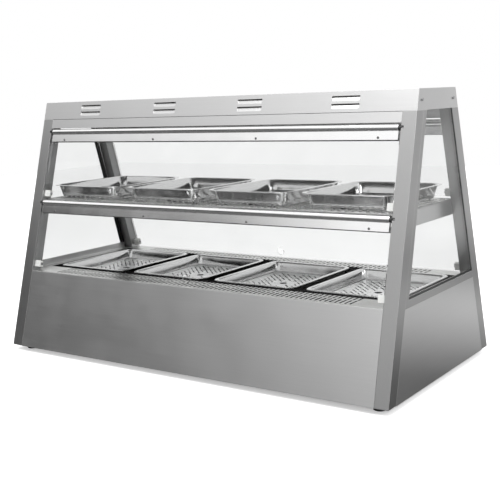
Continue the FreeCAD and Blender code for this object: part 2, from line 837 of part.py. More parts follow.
def flap_glass(node, side, height):
    """The clear pane with its round finger hole near the middle of the lower edge."""
    hole_z = driving("finger_rise") - flap_length
    pane = box(node + "_pane", (-half_pane, -glass / 2, -flap_length), (half_pane, glass / 2, -glass_top))
    hole = rod_y(node + "_hole", driving("finger_radius"), 0, -glass, glass * 2, hole_z)
    return keep(node, on_slope(cut(node + "_drilled", pane, [hole]), side, 0, height, axis_inset))


FLAPS = [("front_upper", FRONT, upper_axis), ("front_lower", FRONT, lower_axis),
         ("rear_upper", REAR, upper_axis), ("rear_lower", REAR, lower_axis)]
for name, side, height in FLAPS:
    hinge_rail(name + "_hinge_rail", side, height)
    flap_glass(name + "_glass", side, height)

pins = []
bushes = []
PIN_TAIL = 3.0
bush_radius = driving("bush_radius")
for name, side, height in FLAPS:
    reach, z = slope_point(height, axis_inset)
    y = reach * (-1 if side == FRONT else 1)
    for end in (-1, 1):
        tip = half_tube - driving("tube_plug") + 1
        tail = inner_x + wall + PIN_TAIL
        bush_high = inner_x
        bush_low = half_tube + 0.5
        pin_start = tip if end > 0 else -tail
        bush_start = bush_low if end > 0 else -bush_high
        pins.append(rod_x(f"pin_{len(pins)}", pin_radius, pin_start, tail - tip, y, z))
        ring = rod_x(f"bush_blank_{len(bushes)}", bush_radius, bush_start, bush_high - bush_low, y, z)
        eye = rod_x(f"bush_eye_{len(bushes)}", pin_hole, bush_start - 1, bush_high - bush_low + 2, y, z)
        bushes.append(cut(f"bush_{len(bushes)}", ring, [eye]))
keep("pivot_pins", together("pins", pins))
keep("pivot_bushes", together("bushes", bushes))

# ---- stop blocks and case screws ------------------------------------------------------------

stop_width = driving("stop_width")
stop_half = driving("stop_length") / 2
stop_face = axis_inset + glass / 2 + driving("stop_gap")
screw_depth = stop_face + driving("stop_thickness") / 2
screw_head = driving("screw_head_height")


def screw(name, x, y, z, direction, shank):
    """A pan-head screw along X with its head's seat at x; the shank runs in the given direction."""
    shank_start = x if direction > 0 else x - shank
    head_start = x - screw_head if direction > 0 else x
    return fused(name, [rod_x(name + "_shank", screw_shank_radius, shank_start, shank, y, z),
                        rod_x(name + "_head", screw_head_radius, head_start, screw_head, y, z)])


stops = []
screws = []
for side in (FRONT, REAR):
    sign = -1 if side == FRONT else 1
    for height in (upper_axis - driving("upper_stop_drop"), lower_axis - driving("lower_stop_drop")):
        for end in (-1, 1):
            near = inner_x - stop_width if end * -sign > 0 else -inner_x
            block = slope_block(f"stop_blank_{len(stops)}", side, 0, height, (near, stop_face, -stop_half),
                                (near + stop_width, stop_face + driving("stop_thickness"), stop_half))
            inner_end = (inner_x - stop_width) * end
            screw_reach, screw_z = slope_point(height, screw_depth)
            screw_y = screw_reach * sign
            hole = rod_x(f"stop_hole_{len(stops)}", screw_clear, -inner_x if end < 0 else inner_x - stop_width,
                         stop_width, screw_y, screw_z)
            stops.append(cut(f"stop_{len(stops)}", block, [hole]))
            screws.append(screw(f"stop_screw_{len(screws)}", inner_end, screw_y, screw_z, end, stop_width - 1))
keep("stop_blocks", together("stops", stops))

CAP_SCREW_SHANK = 8.0
for i, (sx, sy) in enumerate([(-1, -1), (1, -1), (1, 1), (-1, 1)]):
    screws.append(screw(f"cap_screw_{i}", half_width * sx, cap_screw_y * sy, above_floor(cap_screw_height),
                        -sx, as_size(CAP_SCREW_SHANK)))
keep("case_screws", together("screws", screws))

# ---- pans and drain plates ------------------------------------------------------------------

def rounded_wire(half_x, half_y, radius, z):
    """A rectangle with round corners, level at z and centred on the upright axis."""
    radius = min(radius, half_x - 1, half_y - 1)
    bend = radius * (1 - math.sqrt(0.5))
    x_in = half_x - radius
    y_in = half_y - radius
    edges = []
    for sx, sy in ((1, 1), (-1, 1), (-1, -1), (1, -1)):
        on_x = V(sx * half_x, sy * y_in, z)
        on_y = V(sx * x_in, sy * half_y, z)
        middle = V(sx * (half_x - bend), sy * (half_y - bend), z)
        first, last = (on_x, on_y) if sx * sy > 0 else (on_y, on_x)
        edges.append(Part.Arc(first, middle, last).toShape())
    joined = []
    for i, arc in enumerate(edges):
        following = edges[(i + 1) % 4]
        joined.append(arc)
        joined.append(Part.LineSegment(arc.Vertexes[-1].Point, following.Vertexes[0].Point).toShape())
    return Part.Wire(joined)


def rounded_block(half_x, half_y, radius, low, high):
    face_low = Part.Face(rounded_wire(half_x, half_y, radius, low))
    return face_low.extrude(V(0, 0, high - low))


def bowl(half_x, half_y, corner, top, low, taper, bend):
    """A tapered block with round corners and a round lower edge: the outside or inside of a pan."""
    upper = rounded_wire(half_x, half_y, corner, top)
    lower = rounded_wire(half_x - taper, half_y - taper, corner - taper / 2, low)
    shape = Part.makeLoft([upper, lower], True, True)
    foot = [e for e in shape.Edges if abs(e.BoundBox.ZMax - low) < 1e-4 and abs(e.BoundBox.ZMin - low) < 1e-4]
    return shape.makeFillet(bend, foot)


def pan_shape(width, depth, drop, taper, corner, bend):
    """A flanged pan with its rim's top at z = 0."""
    t = thin.number
    rim = driving("pan_rim").number
    edge = rim_edge.number
    half_x = width / 2
    half_y = depth / 2
    flange = rounded_block(half_x, half_y, corner, -edge, 0)
    flange = flange.cut(rounded_block(half_x - t, half_y - t, corner - t, -edge - 1, -t))
    outside = bowl(half_x - rim, half_y - rim, corner - rim / 2, 0, -drop, taper, bend)
    inside = bowl(half_x - rim - t, half_y - rim - t, corner - rim / 2 - t, 1, t - drop, taper, bend - t)
    return flange.fuse(outside).cut(inside).removeSplitter()


FINGER_RING = 10.0
STUD = 4.0


def drain_shape(corner):
    """A slotted plate that lies in a pan, its top at z = 0, on four round studs."""
    t = thin.number
    inset = (driving("pan_rim") + driving("pan_taper") + driving("plate_gap")).number
    half_x = pan_width.number / 2 - inset
    half_y = pan_depth.number / 2 - inset
    plate = rounded_block(half_x, half_y, corner, -t, 0)
    slot = driving("plate_slot").number
    length = 34.0
    across = 13.0
    along = 42.0
    margin = 12.0
    slots = []
    for i in range(-20, 21):
        for j in range(-8, 9):
            reach_a = i * across
            reach_b = (j + 0.5 * (i % 2)) * along
            x = (reach_a + reach_b) * math.sqrt(0.5)
            y = (reach_a - reach_b) * math.sqrt(0.5)
            end = length / 2 * math.sqrt(0.5)
            clear_of_ring = math.hypot(x, y) > FINGER_RING + length / 2 + 3
            if abs(x) + end < half_x - margin and abs(y) + end < half_y - margin and clear_of_ring:
                bar = Part.makeBox(length, slot, t + 2, V(-length / 2, -slot / 2, -t - 1))
                bar.Placement = FreeCAD.Placement(V(x, y, 0), FreeCAD.Rotation(Z_AXIS, -45))
                slots.append(bar)
    slots.append(Part.makeCylinder(FINGER_RING, t + 2, V(0, 0, -t - 1)))
    stud_height = (driving("pan_drop") - driving("plate_drop") - thin).number - t
    studs = [Part.makeCylinder(STUD, stud_height, V(sx * (half_x - 14), sy * (half_y - 14), -t - stud_height))
             for sx in (-1, 1) for sy in (-1, 1)]
    return plate.cut(Part.makeCompound(slots)).fuse(studs)


def pan(node, shape, x, y, z):
    item = doc.addObject("Part::Feature", node + "_pressing")
    item.Shape = shape
    return keep(node, placed(item, x, y, z))


def numbers(*aliases):
    return [driving(alias).number for alias in aliases]


lower_pan = pan_shape(*numbers("pan_width", "pan_depth", "pan_drop", "pan_taper", "lower_pan_corner", "lower_pan_bend"))
upper_pan = pan_shape(*numbers("pan_width", "pan_depth", "upper_pan_drop", "upper_pan_taper", "upper_pan_corner",
                               "upper_pan_bend"))
drain_plate = drain_shape(driving("lower_pan_corner").number / 2)
lower_rim = deck_top + rim_edge
upper_rim = shelf_top + driving("upper_pan_drop")
for i in range(4):
    x = pan_pitch * (i - 1.5)
    pan(f"lower_pan_{i + 1}", lower_pan, x, row_y, lower_rim)
    pan(f"drain_plate_{i + 1}", drain_plate, x, row_y, lower_rim - driving("plate_drop"))
    pan(f"upper_pan_{i + 1}", upper_pan, x, 0, upper_rim)

# ---- controls on the server's side ----------------------------------------------------------

def slope_rod(name, radius, side, x, height, out_from, out_to):
    """A round bar square to a sloped face, from one distance outside it to another."""
    item = doc.addObject("Part::Feature", name)
    item.Shape = Part.makeCylinder(as_size(radius).number, as_size(out_to - out_from).number,
                                   V(0, -as_size(out_from).number, 0), V(0, -1, 0))
    return on_slope(item, side, x, height)


knob_length = driving("knob_length")
knob_radius = driving("knob_radius")
KNOB_GAP = 1.0
SPINDLE_DEPTH = 14.0
spindle_hole = spindle_radius + driving("spindle_fit")
thermostat_blank = fused("thermostat_blank", [
    slope_rod("thermostat_neck", SPINDLE_BOSS, REAR, knob_x, control_height, as_size(-8), as_size(0.8)),
    slope_block("thermostat_case", REAR, knob_x, control_height, (-20, 1.7, -20), (20, 38, 20))])
keep("thermostat", fused("thermostat_whole", [
    thermostat_blank,
    slope_rod("thermostat_spindle", spindle_radius, REAR, knob_x, control_height, as_size(0), as_size(SPINDLE_DEPTH))]))

knob_blank = fused("knob_blank", [
    slope_rod("knob_skirt", knob_radius, REAR, knob_x, control_height, as_size(KNOB_GAP), as_size(KNOB_GAP + 5)),
    slope_rod("knob_grip", knob_radius * 0.78, REAR, knob_x, control_height, as_size(KNOB_GAP + 4), knob_length + KNOB_GAP),
    slope_block("knob_pointer", REAR, knob_x, control_height, (-2.5, -(knob_length + KNOB_GAP + 1.5), 2),
                (2.5, -KNOB_GAP - 4, knob_radius * 0.9))])
keep("thermostat_knob", cut("knob", knob_blank, [
    slope_rod("knob_bore", spindle_hole, REAR, knob_x, control_height, as_size(KNOB_GAP - 1), as_size(SPINDLE_DEPTH + 0.5))]))

BEZEL = 2.0
ROCKER_RADIUS = 12.0
switch_shell = slope_block("switch_shell", REAR, switch_x, control_height,
                           (-half_slot_x, -BEZEL, -half_slot_z), (half_slot_x, 24, half_slot_z))
switch_rim = slope_block("switch_rim", REAR, switch_x, control_height,
                         (-half_slot_x - 2, -BEZEL, -half_slot_z - 2), (half_slot_x + 2, 0, half_slot_z + 2))
switch_pocket = slope_block("switch_pocket", REAR, switch_x, control_height,
                            (3 - half_slot_x, -BEZEL - 1, 3 - half_slot_z), (half_slot_x - 3, 12, half_slot_z - 3))
keep("switch_body", cut("switch", fused("switch_blank", [switch_shell, switch_rim]), [switch_pocket]))


def rocker_shape():
    """A rocker that pivots about an axis up the slope; its two wings dip by turns."""
    half = half_slot_x - 5.0
    depth = half_slot_z - 3.4
    corners = [V(-half, 1.5, -depth), V(-half, -5.5, -depth), V(0, -2.6, -depth), V(half, -2.0, -depth),
               V(half, 1.5, -depth), V(0, 5.5, -depth)]
    side = Part.Face(Part.makePolygon(corners + corners[:1]))
    return side.extrude(V(0, 0, 2 * depth))


rocker = doc.addObject("Part::Feature", "rocker_moulding")
rocker.Shape = rocker_shape()
keep("power_rocker", on_slope(rocker, REAR, switch_x, control_height))

keep("pilot_lamp", fused("lamp", [
    slope_rod("lamp_neck", LAMP_NECK, REAR, lamp_x, control_height, as_size(-22), as_size(0.5)),
    slope_rod("lamp_lens", 7.0, REAR, lamp_x, control_height, as_size(0), as_size(4))]))

keep("cable_gland", cut("gland", fused("gland_blank", [
    slope_rod("gland_neck", GLAND_NECK, REAR, gland_x, gland_height, as_size(-12), as_size(1)),
    slope_rod("gland_collar", 11.5, REAR, gland_x, gland_height, as_size(0), as_size(5)),
    slope_rod("gland_dome", 9.0, REAR, gland_x, gland_height, as_size(4), as_size(14))]), [
    slope_rod("gland_bore", 4.5, REAR, gland_x, gland_height, as_size(-13), as_size(15))]))

keep("terminal_block", box("terminals", (-gland_x - 30, floor_y - 60, foot_height + wall),
                           (-gland_x + 30, floor_y - 30, foot_height + wall + 22)))

# ---- check and write ------------------------------------------------------------------------

doc.recompute()
faults = [o.Name for o in doc.Objects if "Invalid" in o.State or "Error" in o.State]
if faults:
    raise RuntimeError("objects that failed: " + ", ".join(faults))
for node, item in finished.items():
    if item.Shape.isNull() or not item.Shape.isValid() or not item.Shape.Solids:
        raise RuntimeError("not a sound solid: " + node)

os.makedirs("parts", exist_ok=True)
for node, item in finished.items():
    item.Shape.exportStep(f"parts/{node}.step")
    low = item.Shape.BoundBox
    print(f"{node}: {len(item.Shape.Solids)} solid(s), x {low.XMin:.1f}..{low.XMax:.1f}, "
          f"y {low.YMin:.1f}..{low.YMax:.1f}, z {low.ZMin:.1f}..{low.ZMax:.1f}")
print(len(finished), "nodes")
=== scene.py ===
# %% [markdown]
# # A two-tier hot food display case
#
# The real object is a long stainless cabinet: a heated base full of lift-out pans, a mesh shelf with
# four more pans, glass ends, and glass flaps that lift at the front and at the back. The frame, with
# every real size, is already made. This lesson gives it its finishes, and models the pieces whose
# shape needs soft bends, rolled rims or fine patterns.

# %% Load the frame
import json
import math

import bmesh
import bpy
from mathutils import Matrix, Vector


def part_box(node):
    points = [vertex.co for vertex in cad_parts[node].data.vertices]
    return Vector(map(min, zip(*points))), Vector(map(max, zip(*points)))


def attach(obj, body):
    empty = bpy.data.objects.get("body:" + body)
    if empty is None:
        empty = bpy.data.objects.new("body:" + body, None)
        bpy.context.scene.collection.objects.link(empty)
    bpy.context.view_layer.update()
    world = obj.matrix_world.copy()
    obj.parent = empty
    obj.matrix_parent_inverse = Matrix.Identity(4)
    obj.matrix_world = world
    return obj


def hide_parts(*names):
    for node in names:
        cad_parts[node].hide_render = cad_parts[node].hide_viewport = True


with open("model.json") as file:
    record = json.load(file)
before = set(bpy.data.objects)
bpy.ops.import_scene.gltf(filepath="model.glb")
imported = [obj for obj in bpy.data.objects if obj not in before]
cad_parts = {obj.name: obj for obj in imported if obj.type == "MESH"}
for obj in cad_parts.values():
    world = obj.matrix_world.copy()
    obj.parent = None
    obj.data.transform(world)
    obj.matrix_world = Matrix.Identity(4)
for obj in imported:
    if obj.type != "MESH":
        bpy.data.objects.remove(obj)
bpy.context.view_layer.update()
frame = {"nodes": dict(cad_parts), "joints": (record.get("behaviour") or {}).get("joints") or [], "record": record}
nodes = frame["nodes"]
print(len(nodes), "pieces of the frame")

# %% [markdown]
# ## The camera
#
# A camera can be aimed with an empty and a constraint, or by setting its matrix. The matrix is chosen
# here, because the camera also leans a little to one side. Its columns are the camera's own right, up
# and backward directions.

# %% Camera
AZIMUTH = math.radians(35.17)      # how far round from the front
ELEVATION = math.radians(6.47)     # how far the camera looks down
ROLL = math.radians(-2.28)         # how far it leans to one side
CAMERA_PLACE = (1.55925, -2.13463, 0.73860)

backward = Vector((math.sin(AZIMUTH) * math.cos(ELEVATION),
                   -math.cos(AZIMUTH) * math.cos(ELEVATION),
                   math.sin(ELEVATION)))
level_right = Vector((math.cos(AZIMUTH), math.sin(AZIMUTH), 0))
level_up = backward.cross(level_right)
right = math.cos(ROLL) * level_right + math.sin(ROLL) * level_up
up = math.cos(ROLL) * level_up - math.sin(ROLL) * level_right
camera_data = bpy.data.cameras.new("camera")
camera_data.lens = 66.8            # millimetres, on a sensor 36 mm wide
camera_data.sensor_width = 36.0
camera_data.shift_y = -0.1
camera = bpy.data.objects.new("camera", camera_data)
turn = Matrix((right, up, backward)).transposed().to_4x4()
camera.matrix_world = Matrix.Translation(CAMERA_PLACE) @ turn
bpy.context.scene.collection.objects.link(camera)
bpy.context.scene.camera = camera
print("camera at", tuple(round(c, 3) for c in camera.location))

# %% [markdown]
# ## Small helpers for node materials
#
# Every finish here is made of nodes. These helpers add one node, or one link, in one line, so that the
# recipes further down read like a list of what the finish is made of.


# %% Node helpers
def add_node(tree, kind, **settings):
    """Add one node to a node tree and set its properties."""
    node = tree.nodes.new(kind)
    for name, value in settings.items():
        setattr(node, name, value)
    return node


def feed(tree, source, target):
    """Link a source socket to a target socket, or set the target to a plain value."""
    if hasattr(source, "is_output"):
        tree.links.new(source, target)
    else:
        target.default_value = source


def maths(tree, operation, a, b=0.0, clamp=False):
    """One sum, product or other operation on two values."""
    node = add_node(tree, "ShaderNodeMath", operation=operation, use_clamp=clamp)
    feed(tree, a, node.inputs[0])
    feed(tree, b, node.inputs[1])
    return node.outputs[0]


def stepped(tree, value, low, high, to_low=0.0, to_high=1.0):
    """Stretch a value from one range to another, smoothly."""
    node = add_node(tree, "ShaderNodeMapRange", interpolation_type="SMOOTHSTEP")
    for source, target in zip((value, low, high, to_low, to_high), node.inputs):
        feed(tree, source, target)
    return node.outputs[0]


def noise(tree, vector, scale, detail=2.0):
    """A cloudy value between 0 and 1."""
    node = add_node(tree, "ShaderNodeTexNoise")
    feed(tree, vector, node.inputs["Vector"])
    node.inputs["Scale"].default_value = scale
    node.inputs["Detail"].default_value = detail
    return node.outputs["Fac"]


def stretched(tree, vector, factors):
    """Multiply a vector, axis by axis."""
    node = add_node(tree, "ShaderNodeVectorMath", operation="MULTIPLY")
    feed(tree, vector, node.inputs[0])
    feed(tree, factors, node.inputs[1])
    return node.outputs[0]


def object_place(tree):
    """Where a point of the surface is, in the object's own coordinates."""
    return tree.nodes.new("ShaderNodeTexCoord").outputs["Object"]


def split(tree, vector):
    """The X, Y and Z of a vector, as sockets found by name."""
    node = tree.nodes.new("ShaderNodeSeparateXYZ")
    feed(tree, vector, node.inputs[0])
    return node.outputs


def bumped(tree, height, normal, strength, distance):
    """Tilt a normal as if the surface rose and fell with a height."""
    node = add_node(tree, "ShaderNodeBump")
    node.inputs["Strength"].default_value = strength
    node.inputs["Distance"].default_value = distance
    feed(tree, height, node.inputs["Height"])
    feed(tree, normal, node.inputs["Normal"])
    return node.outputs["Normal"]


def grey(tone):
    """A plain grey as a colour socket takes it."""
    return (tone, tone, tone, 1.0)


def blend_colours(tree, share, a, b):
    """Colour a where the share is 0, colour b where it is 1."""
    node = add_node(tree, "ShaderNodeMix", data_type="RGBA")
    feed(tree, share, node.inputs["Factor"])
    feed(tree, a, node.inputs[6])
    feed(tree, b, node.inputs[7])
    return node.outputs[2]


print("node helpers ready")

# %% [markdown]
# ## Groups and materials
#
# An effect that several finishes share, such as grain, is made once as a node group with named inputs
# and outputs, and placed in each material. Its nodes could be copied into every material instead, but
# then each change would have to be made many times.


# %% Group and material helpers
def new_group(name, inputs, outputs):
    """A shader node group with named sockets; each is (name, socket kind, default)."""
    group = bpy.data.node_groups.new(name, "ShaderNodeTree")
    for label, kind, default in inputs:
        socket = group.interface.new_socket(name=label, in_out="INPUT", socket_type=kind)
        socket.default_value = default
    for label, kind in outputs:
        group.interface.new_socket(name=label, in_out="OUTPUT", socket_type=kind)
    return group, group.nodes.new("NodeGroupInput"), group.nodes.new("NodeGroupOutput")


def use_group(tree, group, **values):
    """Place a node group in a tree and set its inputs."""
    node = add_node(tree, "ShaderNodeGroup", node_tree=group)
    for label, value in values.items():
        feed(tree, value, node.inputs[label])
    return node


def new_material(name):
    """A material with nodes, its tree, and its Principled shader."""
    material = bpy.data.materials.new(name)
    material.use_nodes = True
    return material, material.node_tree, material.node_tree.nodes["Principled BSDF"]


print("group and material helpers ready")


# %% [markdown]
# ## Brushed grain
#
# Brushed sheet is polished with a belt, which leaves thousands of fine parallel scratches. An image
# could hold them, but a noise that is stretched along one axis gives the same look at any size. The
# group takes how often the noise changes along each axis, and gives a mask and a height.

# %% Brushed grain group
FLOAT = "NodeSocketFloat"
VECTOR = "NodeSocketVector"
FINE_SHARE = 0.8       # how much of the mask is fine scratches; the rest is coarser ones
brushed_grain, given, result = new_group(
    "brushed_grain", [("Frequency", VECTOR, (4.0, 900.0, 900.0))], [("Mask", FLOAT), ("Height", FLOAT)])
along_belt = stretched(brushed_grain, object_place(brushed_grain), given.outputs["Frequency"])
fine = noise(brushed_grain, along_belt, 1.0, detail=1.0)
coarse = noise(brushed_grain, along_belt, 0.22, detail=2.0)
fine_part = maths(brushed_grain, "MULTIPLY", fine, FINE_SHARE)
coarse_part = maths(brushed_grain, "MULTIPLY", coarse, 1.0 - FINE_SHARE)
feed(brushed_grain, maths(brushed_grain, "ADD", fine_part, coarse_part), result.inputs["Mask"])
feed(brushed_grain, fine, result.inputs["Height"])
print("group", brushed_grain.name)

# %% [markdown]
# ## Handling marks
#
# Steel in a kitchen is wiped, not polished: it carries soft cloudy patches where the finish is a
# little duller. The group mixes a broad noise with a streaky one into a mask, which the finishes use
# for roughness and a touch of colour. It also gives a very broad wave: sheet is never quite flat.

# %% Handling marks group
CLOUD_SHARE = 0.85     # the rest of the mask is wiping streaks
WIPE_STRETCH = (14.0, 40.0, 60.0)
handling_marks, given, result = new_group(
    "handling_marks", [("Size", FLOAT, 1.0)], [("Cloud", FLOAT), ("Wave", FLOAT)])
scaled = add_node(handling_marks, "ShaderNodeVectorMath", operation="SCALE")
feed(handling_marks, object_place(handling_marks), scaled.inputs[0])
feed(handling_marks, given.outputs["Size"], scaled.inputs["Scale"])
cloud = noise(handling_marks, scaled.outputs[0], 9.0, detail=4.0)
streak = noise(handling_marks, stretched(handling_marks, scaled.outputs[0], WIPE_STRETCH), 1.0, detail=3.0)
cloud_part = maths(handling_marks, "MULTIPLY", cloud, CLOUD_SHARE)
streak_part = maths(handling_marks, "MULTIPLY", streak, 1.0 - CLOUD_SHARE)
marks = maths(handling_marks, "ADD", cloud_part, streak_part)
feed(handling_marks, stepped(handling_marks, marks, 0.35, 0.68), result.inputs["Cloud"])
feed(handling_marks, noise(handling_marks, scaled.outputs[0], 5.0, detail=1.0), result.inputs["Wave"])
print("group", handling_marks.name)

# %% [markdown]
# ## Rounded edges, with painted highlights
#
# Edges catch the light because they are rounded, and their colour is made brighter too: a painted
# highlight. The Bevel node gives the normal that the surface would have with rounded edges. Where that
# differs from the true normal there is an edge, so one node gives the soft highlight and the painted one's mask.

# %% Rounded edges group
rounded_edges, given, result = new_group(
    "rounded_edges", [("Radius", FLOAT, 0.001)], [("Normal", VECTOR), ("Edge", FLOAT)])
rounded = add_node(rounded_edges, "ShaderNodeBevel", samples=4)
feed(rounded_edges, given.outputs["Radius"], rounded.inputs["Radius"])
true_normal = rounded_edges.nodes.new("ShaderNodeNewGeometry").outputs["Normal"]
agree = add_node(rounded_edges, "ShaderNodeVectorMath", operation="DOT_PRODUCT")
feed(rounded_edges, rounded.outputs[0], agree.inputs[0])
feed(rounded_edges, true_normal, agree.inputs[1])
feed(rounded_edges, rounded.outputs[0], result.inputs["Normal"])
feed(rounded_edges, stepped(rounded_edges, agree.outputs["Value"], 0.99, 0.8), result.inputs["Edge"])
print("group", rounded_edges.name)

# %% [markdown]
# ## Metal finishes
#
# All the steel shares one recipe: a base colour that the marks tint, a roughness that the grain and the
# marks vary, and a bump made of the grain on top of the rounded edges. Only the numbers differ, so the
# recipe is a function and each finish is one call.
#
# Inside the case the walls of the slots, and with them the part of the deck that lies between the pans
# and under their rims, are painted almost black: painted shade, where the inside of the case is dark.
# Paint on single faces would need the mesh to be cut. A mask is simpler: it finds upright faces by their
# true normal and a rectangle of the deck by its place, and there the finish turns dark and dull.

# %% Metal recipe
# Near black, for painted shade in the slots and under the pans.
PAINTED_SHADE_BLACK = grey(0.012)
# Edge colour brighter than the steel: a painted highlight.
PAINTED_EDGE_HIGHLIGHT = grey(0.86)
SOFT_EDGE = 0.002      # metres over which the dull rectangle fades


def painted_shade_mask(tree, dark_middle):
    """Painted-shade mask of upright faces, and of a rectangle given as (half x, low y, high y), if there is one.
    """
    facing = split(tree, tree.nodes.new("ShaderNodeNewGeometry").outputs["True Normal"])
    walls = stepped(tree, maths(tree, "ABSOLUTE", facing["Z"]), 0.7, 0.3)
    if not dark_middle:
        return walls
    half_x, low_y, high_y = dark_middle
    spot = split(tree, object_place(tree))
    inside = stepped(tree, maths(tree, "ABSOLUTE", spot["X"]), half_x + SOFT_EDGE, half_x)
    inside = maths(tree, "MULTIPLY", inside, stepped(tree, spot["Y"], low_y, low_y + SOFT_EDGE))
    inside = maths(tree, "MULTIPLY", inside, stepped(tree, spot["Y"], high_y, high_y - SOFT_EDGE))
    return maths(tree, "MAXIMUM", walls, inside)


def metal(name, colour, roughness, frequency, grain_bump=0.012, grain_share=0.06, mark_share=0.08,
          wave=0.0, edge_radius=0.001, mark_size=1.0, shine=1.0, dark_slots=False, dark_middle=None):
    """A steel finish. Its upright faces, and a rectangle of it, may take painted shade: near black and dull."""
    material, tree, shader = new_material(name)
    shader.inputs["Metallic"].default_value = shine
    shader.inputs["Specular IOR Level"].default_value = shine / 2
    grain = use_group(tree, brushed_grain, Frequency=frequency)
    marks = use_group(tree, handling_marks, Size=mark_size)
    edges = use_group(tree, rounded_edges, Radius=edge_radius)
    dark = tuple(c * 0.955 for c in colour) + (1.0,)
    light = tuple(min(1.0, c * 1.02) for c in colour) + (1.0,)
    tint = blend_colours(tree, grain.outputs["Mask"], dark, light)
    tint = blend_colours(tree, maths(tree, "MULTIPLY", marks.outputs["Cloud"], 0.12), tint, dark)
    # Edges are painted brighter: a painted highlight.
    tint = blend_colours(tree, maths(tree, "MULTIPLY", edges.outputs["Edge"], 0.5), tint, PAINTED_EDGE_HIGHLIGHT)
    # Painted shade: the masked faces turn near black and lose their shine.
    if dark_slots:
        shade_share = painted_shade_mask(tree, dark_middle)
        tint = blend_colours(tree, shade_share, tint, PAINTED_SHADE_BLACK)
        feed(tree, maths(tree, "SUBTRACT", shine, shade_share, clamp=True), shader.inputs["Metallic"])
        feed(tree, maths(tree, "SUBTRACT", 0.5, shade_share, clamp=True), shader.inputs["Specular IOR Level"])
    feed(tree, tint, shader.inputs["Base Color"])
    grain_rough = maths(tree, "MULTIPLY", grain.outputs["Mask"], grain_share)
    rough = maths(tree, "ADD", roughness - grain_share / 2, grain_rough)
    mark_rough = maths(tree, "MULTIPLY", marks.outputs["Cloud"], mark_share)
    feed(tree, maths(tree, "ADD", rough, mark_rough, clamp=True), shader.inputs["Roughness"])
    normal = bumped(tree, grain.outputs["Height"], edges.outputs["Normal"], grain_bump, 0.0004)
    if wave:
        normal = bumped(tree, marks.outputs["Wave"], normal, 1.0, wave)
    feed(tree, normal, shader.inputs["Normal"])
    return material


print("steel recipe ready")

# %% [markdown]
# ## The steels of the case
#
# Brushed sheet comes here in three directions of grain, because the noise has to be stretched the way
# that each piece was brushed. Turning the pieces would do it too, but they have to stay where they are.
# The pans are pressed from bright sheet, the tubes are polished, and what is near the heaters is near
# black, which is painted shade for the closed inside of the base.

# %% Steel finishes
STEEL = (0.72, 0.72, 0.72)
# A darker copy of the same steel for the upright pieces: painted shade.
SHADED_STEEL = (0.47, 0.47, 0.47)
sheet = {"mark_share": 0.03, "wave": 0.0010}
brushed_lengthwise = metal("brushed_lengthwise", STEEL, 0.32, (6.0, 420.0, 420.0), **sheet)
brushed_sideways = metal("brushed_sideways", STEEL, 0.32, (420.0, 6.0, 420.0), **sheet)
# Upright pieces take the darker copy of the steel: painted shade.
brushed_upright = metal("brushed_upright", SHADED_STEEL, 0.32, (420.0, 420.0, 6.0), **sheet)
satin_sheet = metal("satin_sheet", (0.50, 0.50, 0.49), 0.30, (40.0, 500.0, 500.0))
# The deck carries painted shade in its slots and in a rectangle under and between the pans.
vented_sheet = metal("vented_sheet", (0.60, 0.60, 0.59), 0.30, (40.0, 500.0, 500.0), dark_slots=True,
                     dark_middle=(0.592, -0.165, 0.190))
mesh_strand = metal("mesh_strand", (0.80, 0.80, 0.79), 0.24, (300.0, 300.0, 300.0), edge_radius=0.0003)
bright_tube = metal("bright_tube", (0.95, 0.95, 0.95), 0.13, (4.0, 1200.0, 1200.0), grain_bump=0.02)
pressed_pan = metal("pressed_pan", (0.62, 0.62, 0.62), 0.09, (220.0, 220.0, 220.0), grain_bump=0.02,
                    wave=0.0012, mark_size=2.5)
# The drain plates carry painted shade in their slots.
slotted_plate = metal("slotted_plate", (0.94, 0.94, 0.94), 0.26, (260.0, 260.0, 260.0), mark_size=2.0,
                      shine=0.4, dark_slots=True)
zinc_plate = metal("zinc_plate", (0.45, 0.45, 0.46), 0.32, (300.0, 300.0, 300.0), edge_radius=0.0004)
dark_screw = metal("dark_screw", (0.20, 0.20, 0.20), 0.35, (300.0, 300.0, 300.0), edge_radius=0.0003)
# Near black: painted shade for the pieces inside the closed base and the outsides of the lower pans.
darkened_steel = metal("darkened_steel", (0.020, 0.019, 0.018), 0.6, (60.0, 300.0, 300.0),
                       mark_share=0.15, shine=0.1)
heated_sheath = metal("heated_sheath", (0.13, 0.115, 0.105), 0.5, (120.0, 600.0, 600.0), mark_share=0.2)
print("steel finishes ready")

# %% [markdown]
# ## Glass
#
# Toughened glass is clear, with a faint green tint that shows most at the edges. The shader is a plain
# transmission. It bends light less than real glass, which is near 1.5, so that the reflection on the
# front doesn't veil the dark well behind it. Light that only casts a shadow passes straight through, as
# it nearly does in life, and that keeps the inside of the case bright. A faint cloud in the roughness
# is the haze of wiping.

# %% Glass finish
CLEAN = (0.950, 0.954, 0.953, 1.0)
HAZY = (0.938, 0.942, 0.941, 1.0)
clear_glass, tree, pane = new_material("clear_glass")
pane.inputs["Transmission Weight"].default_value = 1.0
pane.inputs["IOR"].default_value = 1.20
marks = use_group(tree, handling_marks, Size=1.4)
feed(tree, blend_colours(tree, marks.outputs["Cloud"], CLEAN, HAZY), pane.inputs["Base Color"])
feed(tree, maths(tree, "MULTIPLY", marks.outputs["Cloud"], 0.012), pane.inputs["Roughness"])
straight = add_node(tree, "ShaderNodeBsdfTransparent")
straight.inputs["Color"].default_value = (0.95, 0.955, 0.955, 1.0)
path = tree.nodes.new("ShaderNodeLightPath")
either = tree.nodes.new("ShaderNodeMixShader")
feed(tree, path.outputs["Is Shadow Ray"], either.inputs["Fac"])
feed(tree, pane.outputs["BSDF"], either.inputs[1])
feed(tree, straight.outputs["BSDF"], either.inputs[2])
feed(tree, either.outputs["Shader"], tree.nodes["Material Output"].inputs["Surface"])
print("glass ready")

# %% [markdown]
# ## Plastics and rubber
#
# Moulded parts have a fine spark-eroded texture and catch dust. One recipe covers the black controls,
# the white nylon blocks, the rubber and the ceramic, with a colour that varies a little, a roughness
# with grain, and a fine bump.


